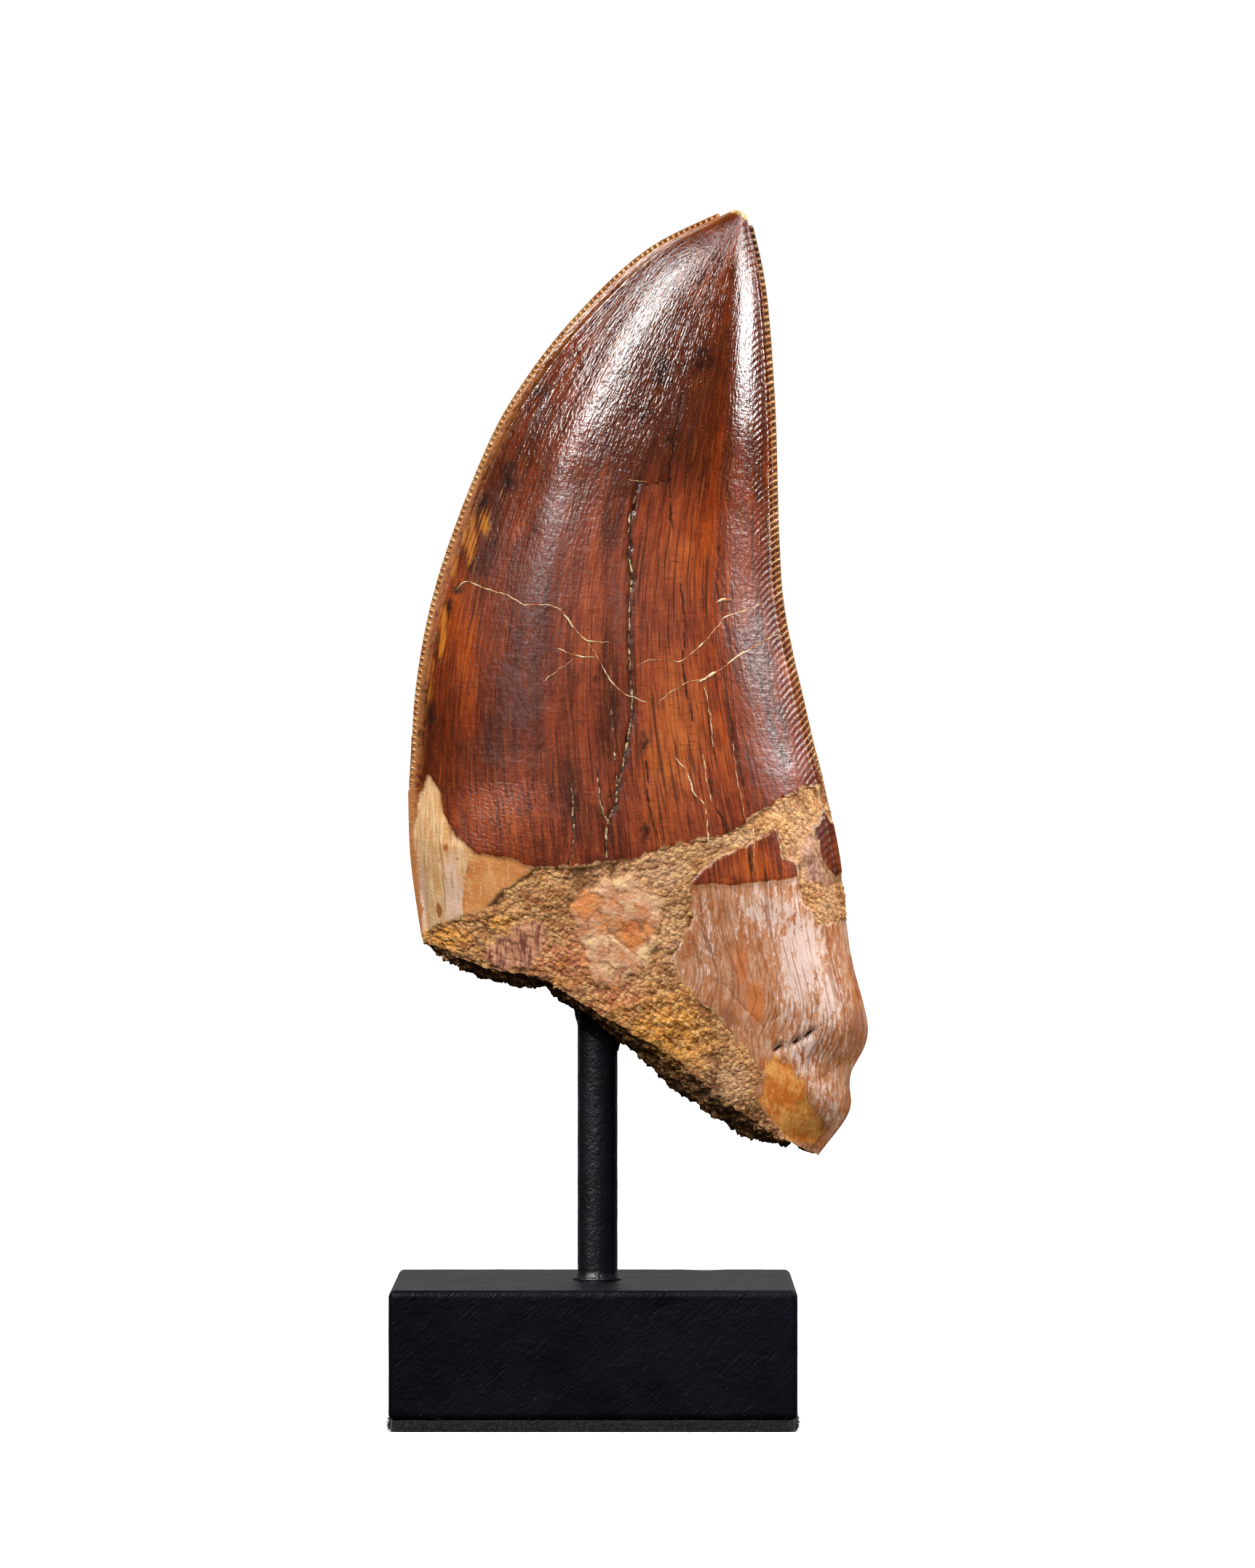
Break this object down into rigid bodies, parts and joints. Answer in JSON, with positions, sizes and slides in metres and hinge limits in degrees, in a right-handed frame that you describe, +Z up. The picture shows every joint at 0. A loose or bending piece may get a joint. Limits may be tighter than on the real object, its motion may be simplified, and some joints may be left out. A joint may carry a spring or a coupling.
{
  "type": "carcharodontosaurus tooth on stand",
  "caption": "Glossy red-brown fossil carcharodontosaurus tooth with serrated edges and sandstone in its broken root, held upright by a black rod on a square steel block.",
  "frame": {"origin": "middle of the underside of the felt pad", "axes": "+Z up along the stand's rod, +X towards the tooth's distal edge, +Y away from the side of the tooth that shows its cracks and sandstone"},
  "size_m": [0.0376, 0.0318, 0.0959],
  "materials": {
    "enamel_and_dentine": "glossy, streaked lengthwise, with cream and pearly dentine where the enamel is gone",
    "sandstone": "rough, grainy and matt",
    "black_rod": "satin, finely pebbled",
    "black_powder_coat": "satin powder coat over brushed steel",
    "black_felt": "fuzzy felt"
  },
  "bodies": {
    "root": {"tooth": "enamel_and_dentine", "sandstone_matrix": "sandstone", "stand_rod": "black_rod", "stand_base": "black_powder_coat", "felt_pad": "black_felt"}
  },
  "joints": []
}
